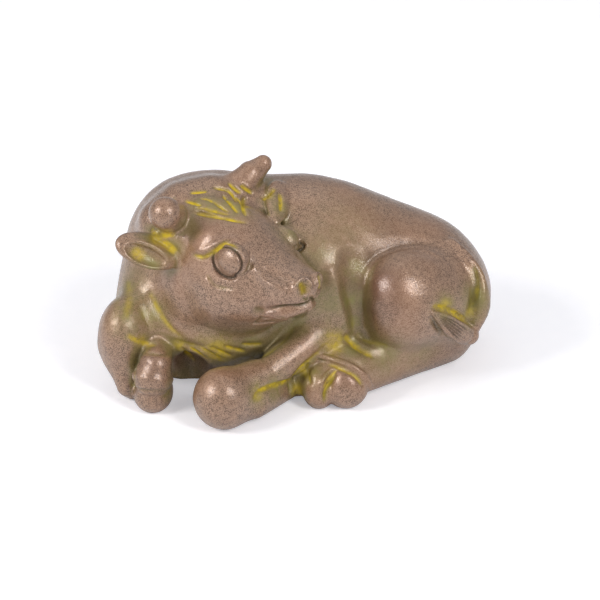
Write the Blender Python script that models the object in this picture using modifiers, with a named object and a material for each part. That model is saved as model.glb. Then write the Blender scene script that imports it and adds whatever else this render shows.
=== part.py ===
"""A small cast ox lying down with its head turned to its left side.

One solid piece of metal. +X runs to the rump, -Y to the ox's left side, +Z up.
The origin is the middle of its box on the surface it rests on.
"""

import math

import bmesh
import bpy
import numpy as np
from mathutils import Matrix, Vector

OX_LENGTH = 0.0575  # chest to rump, in metres
SHARES = 57.5  # sizes below are shares of the length: one share is a millimetre on this ox
SHARE = OX_LENGTH / SHARES
SOLID_TRIANGLES = 9400
ROUGH_VOXEL = 0.45  # mesh size of the first, rough body
FINE_VOXEL = 0.30  # mesh size that the carving is cut in
SINK = 2.5  # depth of the block that trims the underside flat
ROUND_SIDES = 32  # sides of the rough balls and cones
FAR = 30.0  # distance given to places with no form near
MARGIN = 1.5  # how far round a form its distance is worked out, beyond its fillet
LEAST_SLOPE = 0.05
METAL_COLOUR = (0.24, 0.15, 0.11, 1.0)
METAL_SHARE = 0.75
METAL_ROUGHNESS = 0.42

# The drawing: the ox seen from its left side and above, on a sheet of 600 dots each way.
# A place on the sheet is a column and a row.
VIEW_RISE = 30.0  # degrees above level
VIEW_DISTANCE = 400.0
VIEW_AIM = (0.94, 0.34, 11.0)  # the place in the middle of the sheet
VIEW_SCALE = 6.8  # dots to a share, at the aim
VIEW_DOTS = 600
DROP_START = 45.0  # how far before the aim a dropped place starts
DROP_STEPS = 110
DROP_SHARE = 0.85  # share of the distance to the skin that one step goes
DROP_BACK = -0.3
DROP_ON = 1.1

HEAD_COLUMN = 259  # between the eyes
HEAD_ROW = 250
HEAD_DEPTH = -6.5
HEAD_YAW = -40.0  # the muzzle points back over the left side
HEAD_PITCH = -4.0
HEAD_ROLL = -8.0
HEAD_BLEND = 0.8  # fillet where the head meets neck and body

EYE = (0, 6.6, 0)  # middle of the eye on the head's side
EYE_RING = (2.8, 2.45)  # radii of the groove round the eyeball, along the face and up
RING_STEPS = 32
RING_WIDTH = 0.24
RING_DEPTH = 0.55

TUFT_STROKES = 5
TUFT_WIDTH = 0.26
TUFT_DEPTH = 0.4
TUFT_TIP = (434, 312)
TUFT_UPPER_ROOT = (474, 332)
TUFT_LOWER_ROOT = (463, 345)
TUFT_SAG = 4
TUFT_REACH = 0.92  # how far a stroke runs from root to tip

GROOVE_HALF = 1.8  # half a groove's width, in line widths
GROOVE_SHAPE = 1.3  # one is a plain V, more is a softer edge
LINE_FADE = 4  # how suddenly a line ends


def turning(yaw, pitch, roll):
    """Rotation matrix from turns about Z, Y and X, in degrees."""
    return np.array(
        Matrix.Rotation(math.radians(yaw), 3, "Z")
        @ Matrix.Rotation(math.radians(pitch), 3, "Y")
        @ Matrix.Rotation(math.radians(roll), 3, "X")
    )


RISE = math.radians(VIEW_RISE)
VIEW_RIGHT = np.array((1.0, 0.0, 0.0))
VIEW_UP = np.array((0.0, math.sin(RISE), math.cos(RISE)))
VIEW_BACK = np.array((0.0, -math.cos(RISE), math.sin(RISE)))
VIEW_EYE = np.array(VIEW_AIM) + VIEW_DISTANCE * VIEW_BACK


def sight_lines(places):
    """Directions from the viewer's eye through places of the sheet."""
    places = np.array(places, float).reshape(-1, 2)
    spread = VIEW_SCALE * VIEW_DISTANCE
    aside = (places[:, :1] - VIEW_DOTS / 2) / spread
    above = (VIEW_DOTS / 2 - places[:, 1:]) / spread
    lines = aside * VIEW_RIGHT + above * VIEW_UP - VIEW_BACK
    return lines / np.linalg.norm(lines, axis=1)[:, None]


def deep(column, row, depth):
    """A place of the sheet at a known depth, along y."""
    sight = sight_lines((column, row))[0]
    return VIEW_EYE + sight * (depth - VIEW_EYE[1]) / sight[1]


def high(column, row, height):
    """A place of the sheet at a known height, along z."""
    sight = sight_lines((column, row))[0]
    return VIEW_EYE + sight * (height - VIEW_EYE[2]) / sight[2]


HEAD_TURN = turning(HEAD_YAW, HEAD_PITCH, HEAD_ROLL)
HEAD_PLACE = deep(HEAD_COLUMN, HEAD_ROW, HEAD_DEPTH)


def from_head(x, y, z):
    """A place given in the head's axes: x to the muzzle, y to the ox's left, z up from the brow."""
    return HEAD_TURN @ np.array((x, y, z)) + HEAD_PLACE


def lump(name, blend, centre, radii, cut=False):
    """An ellipsoid, melted into its neighbours over the blend distance."""
    centre, radii = np.array(centre, float), np.array(radii, float)
    return {
        "name": name,
        "blend": blend,
        "centre": centre,
        "radii": radii,
        "axes": np.eye(3),
        "cut": cut,
    }


def limb(name, blend, *stations, cut=False):
    """A tapering round limb through stations, each a place and a radius."""
    path = np.array([place for place, radius in stations], float)
    radii = np.array([radius for place, radius in stations], float)
    return {"name": name, "blend": blend, "path": path, "radii": radii, "cut": cut}


def leaf(name, blend, base, tip, facing, width, thickness, cut=False):
    """A flattened ellipsoid from base to tip, its broad side facing the given way."""
    base, tip, facing = (np.array(v, float) for v in (base, tip, facing))
    along = (tip - base) / np.linalg.norm(tip - base)
    facing = facing - along * (facing @ along)
    facing /= np.linalg.norm(facing)
    form = lump(name, blend, (base + tip) / 2, (np.linalg.norm(tip - base) / 2, width, thickness), cut)
    form["axes"] = np.stack([along, np.cross(facing, along), facing], 1)
    return form


def on_head(form):
    """The same form, moved from the head's own axes to the ox's."""
    moved = dict(form)
    if "path" in form:
        moved["path"] = form["path"] @ HEAD_TURN.T + HEAD_PLACE
    else:
        moved["centre"] = HEAD_TURN @ form["centre"] + HEAD_PLACE
        moved["axes"] = HEAD_TURN @ form["axes"]
    return moved


# Body: a name, the fillet where it melts in, then centre and radii, or places and radii of its stations
BODY = [
    lump("barrel", 3, (2, 7, 13), (17, 12, 13.8)),
    lump("shoulders", 4, (-12, 5.5, 13.6), (12.6, 11.5, 14.6)),
    lump("withers", 4, (-16, 6, 17.5), (7.5, 7.5, 9.1)),
    lump("rump", 5, (16.1, 7, 9.6), (12.5, 11, 11.6)),
    lump("belly", 3, (3, 8, 4), (20, 10, 6.5)),
    lump("chest", 5, (-17, 1, 8.5), (9, 8, 8.6)),
    limb("back", 3, ((-10, 7.5, 18.7), 8), ((0, 8, 17.9), 7.8)),
    limb("neck", 2.5, ((-15, 5, 16), 8), (from_head(-12, 1, -2), 6)),
    limb("neck crest", 2.5, (deep(160, 222, 1), 3), (deep(182, 205, 2), 3.2), (deep(212, 197, 3), 3)),
    lump("brisket", 3, deep(225, 325, -4), (9, 6, 6)),
    lump("breast", 1.5, (-15.5, -1.3, 2), (4.5, 3.2, 4)),
    lump("hollow between the forelegs", 0.8, (-15.1, -10, 2.2), (3.3, 6.6, 5.2), cut=True),
    lump("flank", 4, deep(318, 295, -1.5), (6.5, 5.6, 9)),
    lump("elbow", 3, deep(322, 322, -1.5), (7, 5.4, 7)),
    lump("thigh", 0.9, deep(400, 300, -2.9), (6.2, 6.4, 7.3)),
    lump("back of the thigh", 2, deep(419, 298, -1.4), (6.2, 6, 6.8)),
    lump("hip", 3, deep(440, 295, 3), (7.2, 7, 7.5)),
    limb("hind lower leg", 2.5, (high(442, 334, 3.3), 4.3), (high(352, 370, 3.8), 3.8)),
    lump("groin", 1.5, (6, -5, 4.5), (4.4, 4.2, 4.2)),
    lump("hind pastern", 1.2, high(336, 373, 3.8), (4.4, 3.4, 3.3)),
    lump("hind outer claw", 0.5, high(346, 385, 3), (3.3, 3.2, 3.5)),
    lump("hind inner claw", 0.5, high(319, 387, 2.7), (2.5, 3, 3.3)),
    limb(
        "left forearm",
        1.2,
        (deep(332, 322, -4), 3.2),
        (deep(300, 349, -8.2), 2.8),
        (deep(268, 373, -11.5), 2.6),
        (high(224, 397, 4.3), 3.9),
    ),
    lump("left knee", 0.8, high(223, 398, 4.2), (4.3, 4.3, 4.5)),
    limb(
        "left cannon",
        1,
        (high(226, 403, 3.2), 3.4),
        (high(252, 399, 2.9), 2.9),
        (high(290, 382, 2), 2.2),
        (high(308, 378, 2.8), 2.5),
    ),
    lump("right knee", 4, high(124, 337, 8.5), (3.8, 4.6, 5.9)),
    limb("right pastern", 1.2, (high(121, 345, 7), 3), (high(129, 384, 2.4), 1.9)),
    limb("right shank", 0.4, (high(132, 356, 6.4), 2.1), (high(133, 387, 1.5), 1.8)),
    limb("upper claw root", 0.8, (high(157, 366, 7), 2), ((-20, -2, 7), 2.8)),
    limb("upper claw", 0.5, (high(155, 364, 7), 2.3), (high(153, 376, 5.4), 3)),
    lump("lower claw", 0.25, high(153, 391, 2), (2.95, 3.9, 2.9)),
    lump("far thigh", 1.5, (14.5, 13, 8), (8, 6.6, 8.2)),
    limb("far hind lower leg", 1.2, ((17, 15.2, 2.7), 3.2), ((4, 16.6, 2.5), 2.9)),
    lump("far hind claw", 0.5, (0.8, 16.8, 2.2), (3, 2.4, 2.6)),
    lump("far shoulder", 3, (-12, 11.5, 9.5), (7.5, 5.8, 9)),
    limb("far forearm", 1.5, ((-12, 14, 5), 3.6), ((-22, 11, 2.9), 3.2)),
]

# Head: the same, in the head's own axes
SKULL = [
    lump("cranium", 1.5, (-6, 0, -1.6), (8.5, 7.2, 6.6)),
    lump("poll", 1.5, (-9.5, 0, 1.6), (4.6, 6.4, 4.6)),
    lump("cheeks", 3, (-9, 0, -7.6), (8.2, 7.9, 8.4)),
    lump("face", 2, (-3, 0, -4.8), (8, 7.3, 6.4)),
    limb("nose bridge", 1, ((-5, 0, 1.6), 3.4), ((2, 0, -1.1), 2.5), ((7.6, 0, -3.6), 2)),
]
for side in (-1, 1):
    SKULL += [
        limb(
            "brow and nose edge",
            2,
            ((-4.6, side * 2.8, -0.2), 4.1),
            ((0, side * 3.3, -1), 2.6),
            ((3, side * 2.6, -2.2), 2.1),
            ((7.4, side * 1.9, -3.3), 1.9),
        ),
        limb("upper jaw", 2.5, ((-3, side * 2.4, -6), 5.3), ((5.2, side * 1.5, -5.6), 2.7)),
        limb(
            "lower lip",
            0.3,
            ((4.7, side * 3.8, -7.2), 0.75),
            ((7.1, side * 2.8, -6.9), 0.9),
            ((8.8, side * 1.3, -6.1), 0.8),
            ((9.2, 0, -6), 0.8),
        ),
    ]
SKULL += [
    lump("right eyeball", 0.1, (0, -5.6, 0), (2.7, 1.9, 2.4)),
    lump("left eyeball", 0.1, (0, 5.1, 0), (2.7, 1.9, 2.4)),
    lump("muzzle", 1, (7.6, 0, -3.5), (2.9, 3.2, 2.6)),
    lump("chin", 0.6, (5.7, 0, -6.6), (3, 2.4, 1.4)),
    limb("lower jaw", 2, ((-3, 0, -9.3), 4.5), ((4, 0, -7), 2.2)),
    limb("right horn", 0.7, ((-11.7, -5, 3), 2.5), ((-9.5, -9.6, 5.5), 2.35)),
    limb("left horn root", 1.2, ((-10.6, -1.2, 3.4), 2.6), ((-9.8, 6, 5), 2.5)),
    limb(
        "left horn",
        1,
        ((-10.4, 3.2, 2.4), 3.4),
        ((-9.5, 6.6, 5.6), 2.5),
        ((-9.1, 8.3, 7.2), 2),
        ((-8.5, 10.3, 8.5), 1.3),
    ),
]
EAR_FACING = (0.85 * VIEW_BACK + 0.35 * VIEW_UP) @ HEAD_TURN
SKULL.append(leaf("right ear", 0.6, (-9, -6.4, -2.2), (-15, -13.9, 0.8), EAR_FACING, 2.65, 1.5))
HEAD = [on_head(form) for form in SKULL]


def soft_min(first, second, blend):
    """The nearer of two distances, with a fillet where they meet."""
    meet = np.maximum(blend - np.abs(first - second), 0.0) / blend
    return np.minimum(first, second) - meet * meet * blend / 4


def reach(form):
    """Corners of the box round a form."""
    if "path" in form:
        radii = form["radii"][:, None]
        return (form["path"] - radii).min(0), (form["path"] + radii).max(0)
    half = np.sqrt(((form["axes"] * form["radii"]) ** 2).sum(1))
    return form["centre"] - half, form["centre"] + half


def distance(form, points):
    """Distance from each point to the form's surface, negative inside."""
    if "path" not in form:
        local = (points - form["centre"]) @ form["axes"]
        near = np.linalg.norm(local / form["radii"], axis=1)
        steep = np.linalg.norm(local / form["radii"] ** 2, axis=1)
        return near * (near - 1.0) / np.maximum(steep, 1e-9)
    found = np.full(len(points), FAR)
    for k in range(len(form["path"]) - 1):
        start, end = form["path"][k : k + 2]
        along = end - start
        share = np.clip((points - start) @ along / (along @ along), 0.0, 1.0)
        radius = form["radii"][k] + share * (form["radii"][k + 1] - form["radii"][k])
        gap = np.linalg.norm(points - start - share[:, None] * along, axis=1)
        found = np.minimum(found, gap - radius)
    return found


def together(points, forms):
    """Distance to all the forms melted together, in the order given."""
    found = np.full(len(points), FAR)
    for form in forms:
        low, top = reach(form)
        margin = form["blend"] + MARGIN
        near = ((points > low - margin) & (points < top + margin)).all(1)
        if not near.any():
            continue
        gap = distance(form, points[near])
        if form["cut"]:
            found[near] = -soft_min(-found[near], gap, form["blend"])
        else:
            found[near] = soft_min(found[near], gap, form["blend"])
    return found


def smooth_ox(points):
    """Distance to the ox before it is carved."""
    return soft_min(together(points, BODY), together(points, HEAD), HEAD_BLEND)


def slope(points, step=0.02):
    """Distance to the smooth ox and its gradient."""
    here = smooth_ox(points)
    return here, np.stack([smooth_ox(points + step * axis) - here for axis in np.eye(3)], 1) / step


def facings(points):
    """The way the skin faces at each point."""
    steep = slope(points)[1]
    return steep / np.maximum(np.linalg.norm(steep, axis=1), 1e-9)[:, None]


def dropped(places):
    """Points of the smooth ox that the drawing shows at the given columns and rows."""
    sights = sight_lines(places)
    points = VIEW_EYE + sights * (VIEW_DISTANCE - DROP_START)
    for _ in range(DROP_STEPS):
        step = np.clip(smooth_ox(points) * DROP_SHARE, DROP_BACK, DROP_ON)
        points += step[:, None] * sights
    return points


def settled(points, rounds=6, most=0.6):
    """Points moved onto the skin of the smooth ox."""
    points = np.array(points, float)
    for _ in range(rounds):
        here, steep = slope(points)
        share = here / np.maximum((steep * steep).sum(1), LEAST_SLOPE)
        points -= np.clip(share, -most, most)[:, None] * steep
    return points


def curve(places, steps=5):
    """A smooth curve through the places, as closely spaced points."""
    places = np.array(places, float)
    ends = np.vstack([2 * places[0] - places[1], places, 2 * places[-1] - places[-2]])
    share = np.linspace(0.0, 1.0, steps, endpoint=False)[:, None]
    runs = []
    for k in range(len(places) - 1):
        before, start, end, after = ends[k : k + 4]
        bend = 2 * before - 5 * start + 4 * end - after
        twist = 3 * start - before - 3 * end + after
        runs.append(start + 0.5 * share * (end - before + share * (bend + share * twist)))
    return np.concatenate([*runs, places[-1:]])


def laid(name, blend, lift, *stations, cut=False):
    """A limb laid along the skin, lifted off it: stations of column, row and radius."""
    stations = curve(stations, 4)
    points = dropped(stations[:, :2])
    points += lift * facings(points)
    return limb(name, blend, *zip(points, stations[:, 2]), cut=cut)


def laid_leaf(name, blend, lift, base, tip, width, thickness, facing=None, cut=False):
    """A leaf laid on the skin from base to tip, lifted off it."""
    points = dropped((base, tip))
    outward = facings(points)
    points += lift * outward
    facing = outward.mean(0) if facing is None else facing
    return leaf(name, blend, *points, facing, width, thickness, cut=cut)


def add_laid_forms():
    """Adds the forms that lie on the skin of the ones before them."""
    ear_front = HEAD_TURN @ EAR_FACING
    HEAD.append(
        laid_leaf("right ear hollow", 0.3, 0.3, (166, 265), (125, 247), 1.6, 1.1, ear_front, cut=True)
    )
    HEAD.append(laid_leaf("left ear", 0.5, 0.2, (275, 224), (278, 182), 1.7, 0.9))
    HEAD.append(laid_leaf("forelock", 0.3, 0, (194, 202), (250, 215), 2.2, 0.7))
    BODY.append(
        laid("tail", 0.7, 0, (452, 242, 0.6), (466, 258, 1), (477, 279, 1.3), (480, 306, 1.5), (472, 330, 1))
    )
    BODY.append(
        laid("valley by the thigh", 2.3, 0.7, (352, 262, 1), (351, 296, 1.5), (354, 328, 1.3), cut=True)
    )
    BODY.append(
        laid("skin fold", 1.3, -0.3, (331, 272, 0.4), (337, 298, 0.8), (342, 314, 0.9), (345, 330, 0.8))
    )
    BODY.append(
        laid("hind coronet", 0.3, 0.1, (321, 356, 0.4), (347, 365, 0.5), (364, 376, 0.5), (370, 387, 0.4))
    )
    BODY.append(
        laid("tail tuft", 0.25, 0.2, (432, 312, 0.35), (442, 319, 1.1), (455, 329, 1.7), (469, 334, 1.5))
    )


# Carved lines: name, width, depth (below nothing for a ridge), then columns and rows.
# The face's lines are mirrored onto its other side.
FACE_LINES = [
    ("brow groove", 0.34, 0.45, (190, 254), (202, 257), (213, 252), (228, 243), (241, 250)),
    ("brow ridge", 0.6, -0.25, (190, 249), (205, 250), (214, 245), (230, 239), (241, 243)),
    ("lower lid", 0.25, 0.28, (206, 274), (216, 286), (234, 289)),
    ("tear duct", 0.4, 0.25, (249, 262), (251, 270)),
    ("nose edge", 0.6, -0.5, (253, 264), (266, 281), (287, 291)),
    ("nose hollow", 0.9, 0.3, (262, 268), (280, 279), (295, 284)),
    ("nostril", 0.6, 0.75, (302, 281), (304, 289), (305, 296)),
    ("nostril rim", 0.32, -0.5, (296, 294), (297, 284), (304, 279), (310, 284), (311, 291)),
    ("nostril curl", 0.24, 0.4, (302, 297), (307, 301), (309, 295)),
    ("mouth", 0.3, 0.55, (262, 311), (282, 307), (303, 305), (312, 300), (319, 293)),
    ("under the lip", 0.26, 0.35, (274, 317), (288, 319), (300, 316), (312, 308)),
    ("mouth corner", 0.8, 0.35, (252, 309), (265, 313)),
]
BODY_LINES = [
    ("fringe", 0.3, 0.4, (190, 212), (224, 218), (249, 223)),
    ("round the thigh", 0.9, 0.15, (362, 284), (377, 261), (402, 249), (430, 249), (449, 260)),
    ("fringe", 0.28, 0.4, (201, 207), (215, 211), (232, 215)),
    ("fringe", 0.28, 0.4, (212, 200), (220, 206), (230, 213)),
    ("fringe", 0.28, 0.4, (222, 194), (230, 203), (239, 214)),
    ("fringe", 0.28, 0.4, (212, 187), (229, 191), (238, 203)),
    ("fringe", 0.28, 0.4, (228, 182), (234, 188), (242, 194)),
    ("fringe", 0.3, 0.4, (240, 184), (246, 189), (253, 194)),
    ("fringe", 0.36, 0.45, (246, 196), (243, 205), (246, 217)),
    ("fringe", 0.26, 0.35, (184, 200), (193, 203), (203, 206)),
    ("fringe", 0.26, 0.35, (189, 193), (199, 192), (208, 191)),
    ("fringe", 0.26, 0.35, (199, 198), (208, 199), (215, 203)),
    ("fringe", 0.26, 0.3, (195, 207), (206, 209), (214, 214)),
    ("fringe", 0.26, 0.3, (233, 196), (240, 201), (243, 208)),
    ("ear root", 0.6, 0.35, (150, 237), (165, 244), (178, 254)),
    ("horn root", 0.45, 0.3, (150, 229), (160, 235), (178, 234)),
    ("ear roll", 0.45, -0.25, (131, 240), (150, 246), (170, 258)),
    ("jaw line", 0.5, 0.3, (149, 290), (154, 302), (168, 325), (186, 342)),
    ("neck fold", 0.8, 0.12, (127, 275), (129, 300), (124, 325)),
    ("neck fold", 0.7, 0.1, (140, 305), (145, 318), (153, 332)),
    ("neck fold", 0.6, 0.1, (118, 282), (117, 305), (114, 322)),
    ("neck foot", 0.5, 0.25, (124, 333), (140, 342), (158, 346)),
    ("under the jaw", 0.6, 0.35, (172, 340), (190, 345), (210, 348)),
    ("brisket strand", 0.34, 0.35, (180, 347), (188, 354), (195, 362)),
    ("brisket strand", 0.34, 0.35, (187, 346), (199, 354), (211, 362)),
    ("brisket strand", 0.34, 0.35, (197, 346), (210, 353), (224, 361)),
    ("brisket strand", 0.34, 0.35, (210, 347), (221, 352), (233, 357)),
    ("brisket strand", 0.34, 0.3, (223, 346), (234, 349), (247, 352)),
    ("brisket strand", 0.34, 0.3, (240, 344), (252, 345), (264, 344)),
    ("above the forearm", 0.9, 0.35, (226, 366), (261, 356), (285, 338), (298, 314)),
    ("below the forearm", 0.5, 0.5, (252, 400), (262, 390), (288, 381), (303, 367), (330, 342)),
    ("left fore foot", 0.3, 0.35, (288, 379), (290, 387), (290, 395)),
    ("coronet groove", 0.36, 0.35, (324, 363), (342, 369), (356, 377), (364, 388)),
    ("claw cleft", 0.4, 0.5, (324, 404), (326, 390), (336, 371)),
    ("claw strand", 0.3, -0.35, (319, 387), (326, 375), (336, 366)),
    ("claw strand", 0.25, 0.3, (322, 391), (329, 378), (338, 368)),
    ("beside the claw", 0.4, 0.4, (309, 360), (308, 372), (310, 386)),
    ("hock fold", 0.6, 0.3, (343, 334), (355, 346), (376, 358)),
    ("under the thigh", 0.5, 0.3, (355, 330), (366, 340), (398, 350)),
    ("beside the tail", 0.7, 0.55, (474, 262), (478, 285), (468, 318)),
    ("above the tuft", 0.5, 0.4, (430, 306), (448, 309), (472, 325)),
    ("below the tuft", 0.45, 0.35, (430, 316), (440, 331), (460, 347)),
    ("left ear hollow", 0.45, 0.7, (262, 200), (268, 194), (275, 187)),
    ("left ear edge", 0.4, 0.4, (280, 192), (281, 202), (281, 213)),
    ("hoof cleft", 0.32, 0.3, (135, 388), (147, 391), (172, 391)),
    ("beside the shank", 0.45, 0.25, (138, 354), (134, 374), (134, 394)),
    ("hoof coronet", 0.35, 0.3, (144, 353), (172, 355)),
]


def other_side(points):
    """Points mirrored across the head's middle plane."""
    local = (points - HEAD_PLACE) @ HEAD_TURN
    return (local * (1, -1, 1)) @ HEAD_TURN.T + HEAD_PLACE


def line(path, width, depth, fade=True):
    """A carved line: a groove where depth is positive, a ridge where it is negative."""
    return {"path": path, "width": width, "depth": depth, "fade": fade}


def tuft_strokes():
    """Strokes along the tail's tuft, spreading from its tip to its root."""
    tip, upper, lower = (np.array(v, float) for v in (TUFT_TIP, TUFT_UPPER_ROOT, TUFT_LOWER_ROOT))
    strokes = []
    for k in range(TUFT_STROKES):
        share = (k + 0.5) / TUFT_STROKES
        root = upper + share * (lower - upper)
        start = root + TUFT_REACH * (tip - root)
        middle = (start + root) / 2 + (0, (share - 0.5) * 2 * TUFT_SAG)
        strokes.append(("tuft", TUFT_WIDTH, TUFT_DEPTH, start, middle, root))
    return strokes


def parted(points, sizes):
    """The points, parted again into runs of the given sizes."""
    return np.split(points, np.cumsum(sizes)[:-1])


def eye_ring(side):
    """The groove round one eyeball."""
    turn = np.linspace(0.0, 2 * math.pi, RING_STEPS + 1)
    x, y, z = EYE
    long, tall = EYE_RING
    ring = np.stack([x + long * np.cos(turn), np.full(len(turn), side * y), z + tall * np.sin(turn)], 1)
    return line(settled(ring @ HEAD_TURN.T + HEAD_PLACE), RING_WIDTH, RING_DEPTH, fade=False)


def carved_lines():
    """Every carved line, laid on the smooth ox."""
    rows = FACE_LINES + BODY_LINES + tuft_strokes()
    curves = [curve(row[3:]) for row in rows]
    sizes = [len(places) for places in curves]
    paths = parted(dropped(np.concatenate(curves)), sizes)
    faces = len(FACE_LINES)
    mirrored = parted(settled(other_side(np.concatenate(paths[:faces]))), sizes[:faces])
    lines = [eye_ring(side) for side in (-1, 1)]
    lines += [line(path, *row[1:3]) for row, path in zip(rows, paths)]
    lines += [line(path, *row[1:3]) for row, path in zip(rows, mirrored)]
    return lines


def line_gap(points, mark):
    """Which points are near a line, their distance to it, and how far it has faded in there."""
    path = mark["path"]
    margin = 3 * mark["width"]
    near = ((points > path.min(0) - margin) & (points < path.max(0) + margin)).all(1)
    close = points[near]
    gap = np.full(len(close), FAR)
    along = np.zeros(len(close))
    for k in range(len(path) - 1):
        run = path[k + 1] - path[k]
        share = np.clip((close - path[k]) @ run / max(run @ run, 1e-9), 0.0, 1.0)
        new_gap = np.linalg.norm(close - path[k] - share[:, None] * run, axis=1)
        along = np.where(new_gap < gap, (k + share) / (len(path) - 1), along)
        gap = np.minimum(gap, new_gap)
    fade = 1 - np.abs(2 * along - 1) ** LINE_FADE if mark["fade"] else np.ones(len(close))
    return near, gap, fade


def carving(points, lines):
    """How deep the skin is cut at its points: a groove is a V, a ridge is round."""
    grooves, ridges = np.zeros(len(points)), np.zeros(len(points))
    for mark in lines:
        near, gap, fade = line_gap(points, mark)
        if mark["depth"] > 0:
            profile = np.clip(1 - gap / (GROOVE_HALF * mark["width"]), 0.0, 1.0) ** GROOVE_SHAPE
            grooves[near] = np.maximum(grooves[near], mark["depth"] * fade * profile)
        else:
            profile = np.exp(-((gap / mark["width"]) ** 2))
            ridges[near] = np.maximum(ridges[near], -mark["depth"] * fade * profile)
    return grooves - ridges


def clear_scene():
    """Removes the objects and collections that are there."""
    for thing in list(bpy.data.objects):
        bpy.data.objects.remove(thing, do_unlink=True)
    for group in list(bpy.data.collections):
        bpy.data.collections.remove(group)


def new_collection(name):
    """A collection in the scene."""
    group = bpy.data.collections.new(name)
    bpy.context.scene.collection.children.link(group)
    return group


def ball(bm, centre, radii, axes):
    """Adds a sphere, stretched to the radii along the axes."""
    place = Matrix.Translation(Vector(centre)) @ Matrix(axes.tolist()).to_4x4()
    place = place @ Matrix.Diagonal((*radii, 1.0))
    bmesh.ops.create_uvsphere(
        bm, u_segments=ROUND_SIDES, v_segments=ROUND_SIDES // 2, radius=1.0, matrix=place
    )


def cone(bm, start, end, first, last):
    """Adds a closed cone between two places."""
    run = Vector(end) - Vector(start)
    place = Matrix.Translation((Vector(start) + Vector(end)) / 2)
    place = place @ run.to_track_quat("Z", "Y").to_matrix().to_4x4()
    bmesh.ops.create_cone(
        bm,
        cap_ends=True,
        segments=ROUND_SIDES,
        radius1=first,
        radius2=last,
        depth=run.length,
        matrix=place,
    )


def rough_object(name, forms, group):
    """One object that holds every form as plain balls and cones."""
    bm = bmesh.new()
    for form in forms:
        if "path" not in form:
            ball(bm, form["centre"], form["radii"], form["axes"])
            continue
        for place, radius in zip(form["path"], form["radii"]):
            ball(bm, place, (radius, radius, radius), np.eye(3))
        for k in range(len(form["path"]) - 1):
            cone(bm, *form["path"][k : k + 2], *form["radii"][k : k + 2])
    mesh = bpy.data.meshes.new(name)
    bm.to_mesh(mesh)
    bm.free()
    made = bpy.data.objects.new(name, mesh)
    group.objects.link(made)
    return made


def bake(thing):
    """Makes the modifiers' result the object's own mesh."""
    graph = bpy.context.evaluated_depsgraph_get()
    mesh = bpy.data.meshes.new_from_object(thing.evaluated_get(graph))
    old = thing.data
    thing.modifiers.clear()
    thing.data = mesh
    bpy.data.meshes.remove(old)


def remesh(thing, voxel):
    """One closed skin round everything in the object."""
    step = thing.modifiers.new("Skin", "REMESH")
    step.mode = "VOXEL"
    step.voxel_size = voxel


def as_cutter(thing):
    """Shows the object as wires only."""
    thing.hide_render = True
    thing.display_type = "WIRE"


def cut_by(thing, cutter, name):
    """Takes the cutter's shape out of the object."""
    step = thing.modifiers.new(name, "BOOLEAN")
    step.operation = "DIFFERENCE"
    step.solver = "EXACT"
    step.object = cutter


def read_points(mesh):
    """The mesh's vertices as rows of x, y and z."""
    points = np.empty(len(mesh.vertices) * 3)
    mesh.vertices.foreach_get("co", points)
    return points.reshape(-1, 3)


def write_points(mesh, points):
    """Moves the mesh's vertices."""
    mesh.vertices.foreach_set("co", points.ravel())
    mesh.update()


def metal():
    """Brown patinated brass."""
    made = bpy.data.materials.new("patinated brass")
    made.use_nodes = True
    shader = made.node_tree.nodes["Principled BSDF"]
    shader.inputs["Base Color"].default_value = METAL_COLOUR
    shader.inputs["Metallic"].default_value = METAL_SHARE
    shader.inputs["Roughness"].default_value = METAL_ROUGHNESS
    return made


def build_ox():
    """The whole figure."""
    clear_scene()
    parts = new_collection("Ox")
    cutters = new_collection("Cutters")
    add_laid_forms()
    forms = BODY + HEAD
    ox = rough_object("ox", [form for form in forms if not form["cut"]], parts)
    remesh(ox, ROUGH_VOXEL)
    for form in forms:
        if form["cut"]:
            hollow = rough_object(form["name"], [form], cutters)
            remesh(hollow, FINE_VOXEL)
            as_cutter(hollow)
            cut_by(ox, hollow, form["name"])
    for thing in (ox, *cutters.objects):
        bake(thing)
    write_points(ox.data, settled(read_points(ox.data), 4))
    remesh(ox, FINE_VOXEL)
    bake(ox)

    skin = settled(read_points(ox.data), 3)
    depth = carving(skin, carved_lines())
    write_points(ox.data, skin - depth[:, None] * facings(skin))
    fewer = ox.modifiers.new("Fewer faces", "DECIMATE")
    fewer.ratio = SOLID_TRIANGLES / (2 * len(ox.data.polygons))
    fewer.use_collapse_triangulate = True
    bake(ox)

    bpy.ops.mesh.primitive_cube_add(size=1.0, location=(0, 0, -SINK))
    floor = bpy.context.object
    floor.name = "floor block"
    floor.scale = (2 * SHARES, 2 * SHARES, 2 * SINK)
    for group in list(floor.users_collection):
        group.objects.unlink(floor)
    cutters.objects.link(floor)
    as_cutter(floor)
    bpy.context.view_layer.update()
    cut_by(ox, floor, "Flat underside")
    bake(ox)

    points = read_points(ox.data)
    middle = (points.min(0) + points.max(0)) / 2 * (1, 1, 0)
    for thing in (ox, *cutters.objects):
        if thing != floor:
            write_points(thing.data, (read_points(thing.data) - middle) * SHARE)
    floor.location = (0, 0, -SINK * SHARE)
    floor.scale = [side * SHARE for side in floor.scale]
    ox.data.shade_smooth()
    ox.data.materials.append(metal())
    return ox


build_ox()
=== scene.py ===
import math

import bpy
import numpy as np
from mathutils import Matrix, Vector


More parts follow.
